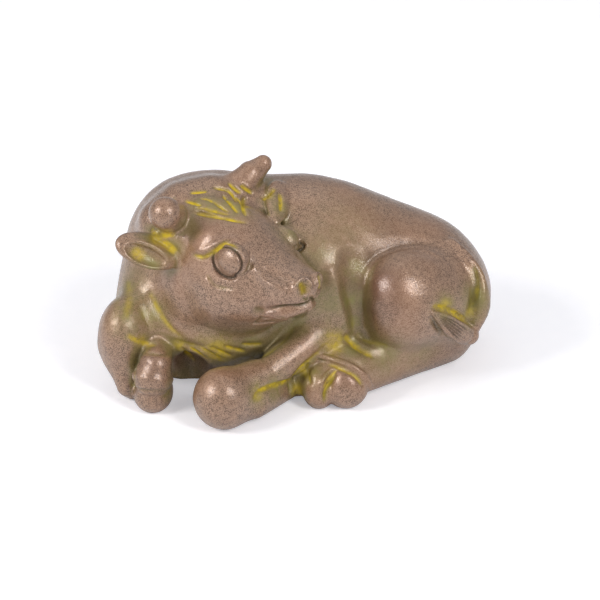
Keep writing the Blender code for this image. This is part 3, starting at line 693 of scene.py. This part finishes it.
# The sideways move from the frame to the drawing that lays the solid's points best on the drawn skin.
# Points of the flat underside, and those that are far off, don't count.
def drawingMove(points, above=1.0, rounds=4, near=0.5):
    points = points[points[:, 2] > above]
    move = np.zeros(3)
    for _ in range(rounds):
        here, steep = slope(points + move)
        good = np.abs(here) < near
        move[:2] -= np.linalg.lstsq(steep[good, :2], here[good], rcond=None)[0]
    return move


maskValues = {
    "spread": 1.15,  # widths of a line that its pigment covers
    "grooveGain": 2.0,  # a groove half a millimetre deep is fully darkened: grime and painted shade
    "stainYellow": 0.75,
    "hollow": (0.6, 1.5, 3.5, 7.0),  # distances looked at in front of the skin
    "bulge": (-0.8, -2.0),  # and behind it
}


# How near each point is to a stain's middle: 1 there, and nearly 0 two radii off.
def stained(points, middle, radius):
    return np.exp(-(((points - middle) ** 2).sum(1) / radius**2))


def paintMask(mesh, name, values):
    layer = mesh.attributes.new(name, "FLOAT", "POINT")
    layer.data.foreach_set("value", values.astype(np.float32))


def paintOx(mesh, points, normals, lines):
    yellow, olive, groove, rustAndShade = (np.zeros(len(points)) for _ in range(4))
    for mark in lines:
        near, gap, fade = lineGap(points, mark)
        soft = fade * np.exp(-((gap / (maskValues["spread"] * mark["width"])) ** 2))
        # How dark the groove's metal gets: grime, and painted shade at its bottom
        dirtAndShade = min(1.0, maskValues["grooveGain"] * mark["depth"])
        yellow[near] = np.maximum(yellow[near], mark["tone"] * soft)
        groove[near] = np.maximum(groove[near], dirtAndShade * soft)
    middles = dropped([row[1:3] for row in stains])
    for middle, (_, _, _, radius, yellowShare, oliveShare) in zip(middles, stains):
        soft = stained(points, middle, radius)
        yellow = np.maximum(yellow, maskValues["stainYellow"] * yellowShare * soft)
        olive = np.maximum(olive, oliveShare * soft)
    middles = dropped([row[1:3] for row in rustAndShadePatches])
    for middle, (_, _, _, radius, rustAndShadeShare) in zip(middles, rustAndShadePatches):
        rustAndShade = np.maximum(rustAndShade, rustAndShadeShare * stained(points, middle, radius))
    paintMask(mesh, "yellow", yellow)
    paintMask(mesh, "olive", olive)
    paintMask(mesh, "groove", groove)
    paintMask(mesh, "rustAndShade", rustAndShade)
    # How hollow the skin is: olive patina and painted shade gather in the hollows
    paintMask(mesh, "hollow", hollowness(points, normals, maskValues["hollow"]))
    paintMask(mesh, "bulge", hollowness(points, -normals, maskValues["bulge"]))


def makeOx():
    print("ox: copying the cast solid")
    share = oxValues["share"]
    ox = bpy.data.objects.new("oxFigure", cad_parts["ox"].data.copy())
    bpy.context.scene.collection.objects.link(ox)
    onlySelected(ox)
    bpy.ops.object.mode_set(mode="EDIT")
    bpy.ops.mesh.select_all(action="SELECT")
    bpy.ops.mesh.remove_doubles(threshold=1e-7)
    bpy.ops.object.mode_set(mode="OBJECT")
    ox.data.materials.clear()
    move = drawingMove(readPoints(ox.data) / share)
    print("ox: the drawing lies", move.round(3), "from the frame")
    writePoints(ox.data, readPoints(ox.data) / share + move)

    applyModifier(ox, "REMESH", mode="VOXEL", voxel_size=oxValues["roughVoxel"])
    factor, rounds = oxValues["smoothing"]
    applyModifier(ox, "SMOOTH", factor=factor, iterations=rounds)
    pressOntoSkin(ox.data, *oxValues["roughPress"])
    applyModifier(ox, "REMESH", mode="VOXEL", voxel_size=oxValues["voxel"])
    print("ox: fine skin of", len(ox.data.polygons), "faces")
    pressOntoSkin(ox.data, *oxValues["finePress"])
    lines = carvedLines()
    points, normals = readPoints(ox.data), readNormals(ox.data)
    print("ox: masks for pigment and wear")
    paintOx(ox.data, points, normals, lines)
    print("ox: carving", len(lines), "lines")
    depth = carving(points, lines) + oxValues["unevenness"] * waves(points, oxValues["unevenSize"])
    points -= depth[:, None] * normals
    points[:, 2] = np.maximum(points[:, 2], 0.0)
    writePoints(ox.data, points)
    ratio = oxValues["triangles"] / (2 * len(ox.data.polygons))
    applyModifier(ox, "DECIMATE", ratio=min(ratio, 1.0), use_collapse_triangulate=True)
    writePoints(ox.data, (readPoints(ox.data) - move) * share)
    ox.data.shade_smooth()
    print("ox:", len(ox.data.polygons), "faces")
    return ox, share, move


grainValues = {
    "size": 0.15,  # millimetres
    "coarse": 0.6,
    "fineShare": 0.68,
    "gain": 3.4,
    "contrast": 1.0,
    "height": 0.00006,  # metres
    "strength": 0.8,
}
metalValues = {
    "dark": (0.12, 0.068, 0.042, 1.0),
    "light": (0.35, 0.21, 0.13, 1.0),
    "warm": (0.33, 0.165, 0.085, 1.0),
    "olive": (0.255, 0.215, 0.075, 1.0),
    "worn": (0.56, 0.36, 0.25, 1.0),
    "deep": (0.045, 0.035, 0.022, 1.0),  # grime and painted shade at the bottom of the grooves and in deep hollows
    "rustAndShade": (0.17, 0.075, 0.045, 1.0),  # red-brown patches of the old patina, and painted shade on the thigh's left side
    "metallic": 0.3,
    "specular": 0.5,
    "roughness": 0.38,
    "glint": 0.12,  # how much glossier the light specks are
    "coat": 0.9,  # the wax that gives the white sheen
    "coatRoughness": 0.2,
}
# Where each tone lies: a mask's or noise's low and high value, then the share of the tone at each.
patinaValues = {
    "warm": (0.42, 0.66, 0.0, 0.6),
    "worn": (0.2, 0.6, 0.0, 0.55),
    "hollow": (0.2, 0.6, 0.0, 0.6),
    "olivePatches": (0.3, 0.6, 0.55, 1.0),
    "grooveDirtAndShade": (0.35, 0.95, 0.0, 0.8),
    "hollowDirtAndShade": (0.65, 0.95, 0.0, 0.6),
    "yellowPatches": (0.4, 0.58, 0.5, 1.0),
    "brightYellow": (0.2, 0.7, 0.0, 1.0),
    "cloudSize": 9.0,  # millimetres
    "blotchSize": 1.7,
}
pigmentValues = {
    "bright": (0.66, 0.49, 0.035, 1.0),
    "green": (0.27, 0.25, 0.05, 1.0),
    "roughness": 0.7,
}
floorValues = {
    "size": 1.6,
    "tone": (0.86, 0.865, 0.885, 1.0),
    "second": (0.885, 0.888, 0.9, 1.0),
    "glow": (0.93, 0.935, 1.0, 1.0),  # the paper is over-lit in the photograph
    "glowStrength": 0.34,
    "below": 0.00005,  # metres under the figure
    "fibre": 2.0,  # millimetres
    "fibreRange": (0.3, 0.7),
    "roughness": 0.7,
    "specular": 0.25,
}


def newGroup(name, inputs, outputs):
    group = bpy.data.node_groups.new(name, "ShaderNodeTree")
    for socketName, kind, value in inputs:
        socket = group.interface.new_socket(name=socketName, in_out="INPUT", socket_type=kind)
        if value is not None:
            socket.default_value = value
    for socketName, kind in outputs:
        group.interface.new_socket(name=socketName, in_out="OUTPUT", socket_type=kind)
    return group


def place(tree, kind, x, y, **values):
    node = tree.nodes.new(kind)
    node.location = (x, y)
    for name, value in values.items():
        setattr(node, name, value)
    return node


def number(tree, operation, x, y, first, second=None, clamp=False):
    node = place(tree, "ShaderNodeMath", x, y, operation=operation, use_clamp=clamp)
    for socket, value in zip(node.inputs, (first, second)):
        if value is None:
            continue
        if isinstance(value, (int, float)):
            socket.default_value = value
        else:
            tree.links.new(value, socket)
    return node.outputs[0]


def ramp(tree, x, y, value, low, high, start=0.0, end=1.0):
    node = place(tree, "ShaderNodeMapRange", x, y, interpolation_type="SMOOTHSTEP")
    tree.links.new(value, node.inputs["Value"])
    node.inputs["From Min"].default_value = low
    node.inputs["From Max"].default_value = high
    node.inputs["To Min"].default_value = start
    node.inputs["To Max"].default_value = end
    return node.outputs["Result"]


def mixed(tree, x, y, share, first, second, blend="MIX"):
    node = place(tree, "ShaderNodeMix", x, y, data_type="RGBA", blend_type=blend)
    if isinstance(share, (int, float)):
        node.inputs[0].default_value = share
    else:
        tree.links.new(share, node.inputs[0])
    for socket, value in ((node.inputs[6], first), (node.inputs[7], second)):
        if isinstance(value, tuple):
            socket.default_value = value
        else:
            tree.links.new(value, socket)
    return node.outputs[2]


def noise(tree, x, y, vector, millimetres, detail=2.0, roughness=0.5):
    node = place(tree, "ShaderNodeTexNoise", x, y)
    node.inputs["Scale"].default_value = 1000.0 / millimetres
    node.inputs["Detail"].default_value = detail
    node.inputs["Roughness"].default_value = roughness
    tree.links.new(vector, node.inputs["Vector"])
    return node.outputs["Fac"]


# Fine grain of the casting: specks of light and dark, and their height.
def makeGrainGroup():
    group = newGroup(
        "castGrain",
        (("Vector", "NodeSocketVector", None), ("Contrast", "NodeSocketFloat", 1.0)),
        (("Speck", "NodeSocketFloat"), ("Height", "NodeSocketFloat")),
    )
    start = place(group, "NodeGroupInput", -900, 0)
    end = place(group, "NodeGroupOutput", 500, 0)
    fine = noise(group, -700, 150, start.outputs["Vector"], grainValues["size"], 1.0)
    coarse = noise(group, -700, -100, start.outputs["Vector"], grainValues["coarse"], 2.0)
    fine = number(group, "MULTIPLY", -530, 150, fine, grainValues["fineShare"])
    coarse = number(group, "MULTIPLY", -530, -100, coarse, 1.0 - grainValues["fineShare"])
    both = number(group, "ADD", -420, 60, fine, coarse)
    centred = number(group, "SUBTRACT", -310, 60, both, 0.5)
    speck = number(group, "MULTIPLY", -200, 60, centred, grainValues["gain"])
    strong = number(group, "MULTIPLY", -80, 60, speck, start.outputs["Contrast"])
    group.links.new(number(group, "ADD", 120, 60, strong, 0.5, clamp=True), end.inputs["Speck"])
    group.links.new(both, end.inputs["Height"])
    return group


def attribute(tree, x, y, name):
    node = place(tree, "ShaderNodeAttribute", x, y, attribute_name=name, attribute_type="GEOMETRY")
    return node.outputs["Fac"]


# The cast brass: grain, patina and pigment, with painted shade in the grooves, deep hollows and on the
# thigh's left side
def makeMetal(grainGroup):
    material = bpy.data.materials.new("patinatedBrass")
    material.use_nodes = True
    tree = material.node_tree
    links = tree.links
    shader = tree.nodes["Principled BSDF"]
    shader.location = (1100, 0)
    tree.nodes["Material Output"].location = (1400, 0)
    vector = place(tree, "ShaderNodeTexCoord", -1600, 0).outputs["Object"]

    grain = place(tree, "ShaderNodeGroup", -1200, 300, node_tree=grainGroup)
    links.new(vector, grain.inputs["Vector"])
    grain.inputs["Contrast"].default_value = grainValues["contrast"]
    speck = grain.outputs["Speck"]
    cloud = noise(tree, -1200, 50, vector, patinaValues["cloudSize"], 3.0)
    blotch = noise(tree, -1200, -150, vector, patinaValues["blotchSize"], 3.0, 0.6)
    yellowMask = attribute(tree, -1200, -300, "yellow")
    oliveMask = attribute(tree, -1200, -450, "olive")
    grooveMask = attribute(tree, -1200, -600, "groove")
    rustAndShadeMask = attribute(tree, -1200, -700, "rustAndShade")
    hollowMask = attribute(tree, -1200, -800, "hollow")
    bulgeMask = attribute(tree, -1200, -1000, "bulge")

    metal = mixed(tree, -800, 300, speck, metalValues["dark"], metalValues["light"])
    warmShare = ramp(tree, -1000, 50, cloud, *patinaValues["warm"])
    metal = mixed(tree, -600, 300, warmShare, metal, metalValues["warm"])
    wornShare = ramp(tree, -1000, -1000, bulgeMask, *patinaValues["worn"])
    wornShare = number(tree, "MULTIPLY", -800, -1000, wornShare, speck)
    metal = mixed(tree, -450, 300, wornShare, metal, metalValues["worn"])
    # Red-brown patina, and painted shade on the thigh's left side
    metal = mixed(tree, -300, 300, rustAndShadeMask, metal, metalValues["rustAndShade"])
    inHollow = ramp(tree, -1000, -800, hollowMask, *patinaValues["hollow"])
    patches = ramp(tree, -1000, -150, blotch, *patinaValues["olivePatches"])
    oliveShare = number(tree, "MULTIPLY", -800, -450, oliveMask, patches)
    oliveShare = number(tree, "MAXIMUM", -600, -500, inHollow, oliveShare, clamp=True)
    metal = mixed(tree, -150, 250, oliveShare, metal, metalValues["olive"])
    # Near-black in deep grooves and deep hollows: grime, and painted shade where the ox hides the light
    shadeAndDirtInGrooves = ramp(tree, -600, -650, grooveMask, *patinaValues["grooveDirtAndShade"])
    shadeAndDirtInHollows = ramp(tree, -600, -850, hollowMask, *patinaValues["hollowDirtAndShade"])
    shadeAndDirtShare = number(tree, "MAXIMUM", -200, -700, shadeAndDirtInGrooves, shadeAndDirtInHollows)
    metal = mixed(tree, 0, 250, shadeAndDirtShare, metal, metalValues["deep"])

    patchyYellow = ramp(tree, -1000, -300, blotch, *patinaValues["yellowPatches"])
    yellowShare = number(tree, "MULTIPLY", -600, -300, yellowMask, patchyYellow, clamp=True)
    tintShare = ramp(tree, -600, -150, yellowMask, *patinaValues["brightYellow"])
    tint = mixed(tree, -200, -150, tintShare, pigmentValues["green"], pigmentValues["bright"])
    links.new(mixed(tree, 300, 200, yellowShare, metal, tint), shader.inputs["Base Color"])

    covered = number(tree, "MAXIMUM", -50, 0, yellowShare, shadeAndDirtShare)
    bare = number(tree, "SUBTRACT", 100, 0, 1.0, covered)
    metallic = number(tree, "MULTIPLY", 300, 0, bare, metalValues["metallic"])
    specular = number(tree, "MULTIPLY", 300, 100, bare, metalValues["specular"])
    coat = number(tree, "MULTIPLY", 300, -300, bare, metalValues["coat"])
    links.new(metallic, shader.inputs["Metallic"])
    links.new(specular, shader.inputs["Specular IOR Level"])
    links.new(coat, shader.inputs["Coat Weight"])
    shader.inputs["Coat Roughness"].default_value = metalValues["coatRoughness"]
    glint = number(tree, "MULTIPLY", 0, -200, speck, -metalValues["glint"])
    rough = number(tree, "ADD", 150, -200, glint, metalValues["roughness"] + metalValues["glint"] / 2)
    duller = pigmentValues["roughness"] - metalValues["roughness"]
    dull = number(tree, "MULTIPLY", 150, -350, yellowShare, duller)
    links.new(number(tree, "ADD", 300, -200, rough, dull, clamp=True), shader.inputs["Roughness"])

    bump = place(tree, "ShaderNodeBump", 700, -400)
    bump.inputs["Strength"].default_value = grainValues["strength"]
    bump.inputs["Distance"].default_value = grainValues["height"]
    links.new(grain.outputs["Height"], bump.inputs["Height"])
    links.new(bump.outputs["Normal"], shader.inputs["Normal"])
    links.new(bump.outputs["Normal"], shader.inputs["Coat Normal"])
    return material


def makeFloor():
    print("floor")
    bpy.ops.object.select_all(action="DESELECT")
    bpy.ops.mesh.primitive_plane_add(size=floorValues["size"], location=(0, 0, -floorValues["below"]))
    floor = bpy.context.object
    floor.name = "paleFloor"
    material = bpy.data.materials.new("paleFloor")
    material.use_nodes = True
    tree = material.node_tree
    shader = tree.nodes["Principled BSDF"]
    vector = place(tree, "ShaderNodeTexCoord", -800, 0).outputs["Object"]
    fibres = noise(tree, -600, 0, vector, floorValues["fibre"], 3.0)
    share = ramp(tree, -400, 0, fibres, *floorValues["fibreRange"])
    paper = mixed(tree, -200, 0, share, floorValues["tone"], floorValues["second"])
    tree.links.new(paper, shader.inputs["Base Color"])
    shader.inputs["Roughness"].default_value = floorValues["roughness"]
    shader.inputs["Specular IOR Level"].default_value = floorValues["specular"]
    shader.inputs["Emission Color"].default_value = floorValues["glow"]
    seen = place(tree, "ShaderNodeLightPath", -400, -300).outputs["Is Camera Ray"]
    glow = number(tree, "MULTIPLY", -200, -300, seen, floorValues["glowStrength"])
    tree.links.new(glow, shader.inputs["Emission Strength"])
    floor.data.materials.append(material)
    return floor


# Each light: direction, distance, width, height, power, colour
lightValues = {
    "leftPanel": ((-0.72, -0.33, 0.61), 0.55, 0.16, 0.16, 1.3, (1.0, 0.985, 0.97)),
    "frontPanel": ((0.52, -0.54, 0.66), 0.60, 0.13, 0.30, 1.5, (1.0, 0.99, 0.98)),
    "frontFill": ((-0.75, -0.55, 0.36), 0.90, 0.7, 0.5, 0.6, (1.0, 0.99, 0.98)),
    "topPanel": ((-0.05, 0.35, 0.93), 0.70, 0.6, 0.6, 0.45, (1.0, 1.0, 1.0)),
}
lightAim = Vector((0, 0, 0.012))
worldValues = {"tone": (0.97, 0.97, 1.0), "strength": 0.37}


def makeLights():
    print("lights")
    for name, (direction, distance, width, height, power, colour) in lightValues.items():
        data = bpy.data.lights.new(name, "AREA")
        data.shape = "RECTANGLE"
        data.size = width
        data.size_y = height
        data.energy = power
        data.color = colour
        lamp = bpy.data.objects.new(name, data)
        bpy.context.scene.collection.objects.link(lamp)
        away = Vector(direction).normalized()
        lamp.location = away * distance + lightAim
        lamp.rotation_euler = away.to_track_quat("Z", "Y").to_euler()
    world = bpy.data.worlds.new("paleRoom")
    world.use_nodes = True
    background = world.node_tree.nodes["Background"]
    background.inputs["Color"].default_value = (*worldValues["tone"], 1.0)
    background.inputs["Strength"].default_value = worldValues["strength"]
    bpy.context.scene.world = world
    bpy.context.scene.view_settings.view_transform = "Standard"


def makeCamera(share, move):
    print("camera")
    data = bpy.data.cameras.new("photographView")
    data.sensor_width = viewValues["sensor"]
    data.lens = data.sensor_width * viewValues["scale"] * viewValues["distance"] / viewValues["dots"]
    data.clip_start = viewValues["clip"]
    camera = bpy.data.objects.new("photographView", data)
    bpy.context.scene.collection.objects.link(camera)
    camera.location = (viewEye - move) * share
    camera.rotation_euler = Vector(viewBack).to_track_quat("Z", "Y").to_euler()
    bpy.context.scene.camera = camera


oxFigure, share, move = makeOx()
oxFigure.data.materials.append(makeMetal(makeGrainGroup()))
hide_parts("ox")
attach(oxFigure, "root")
makeFloor()
makeLights()
makeCamera(share, move)
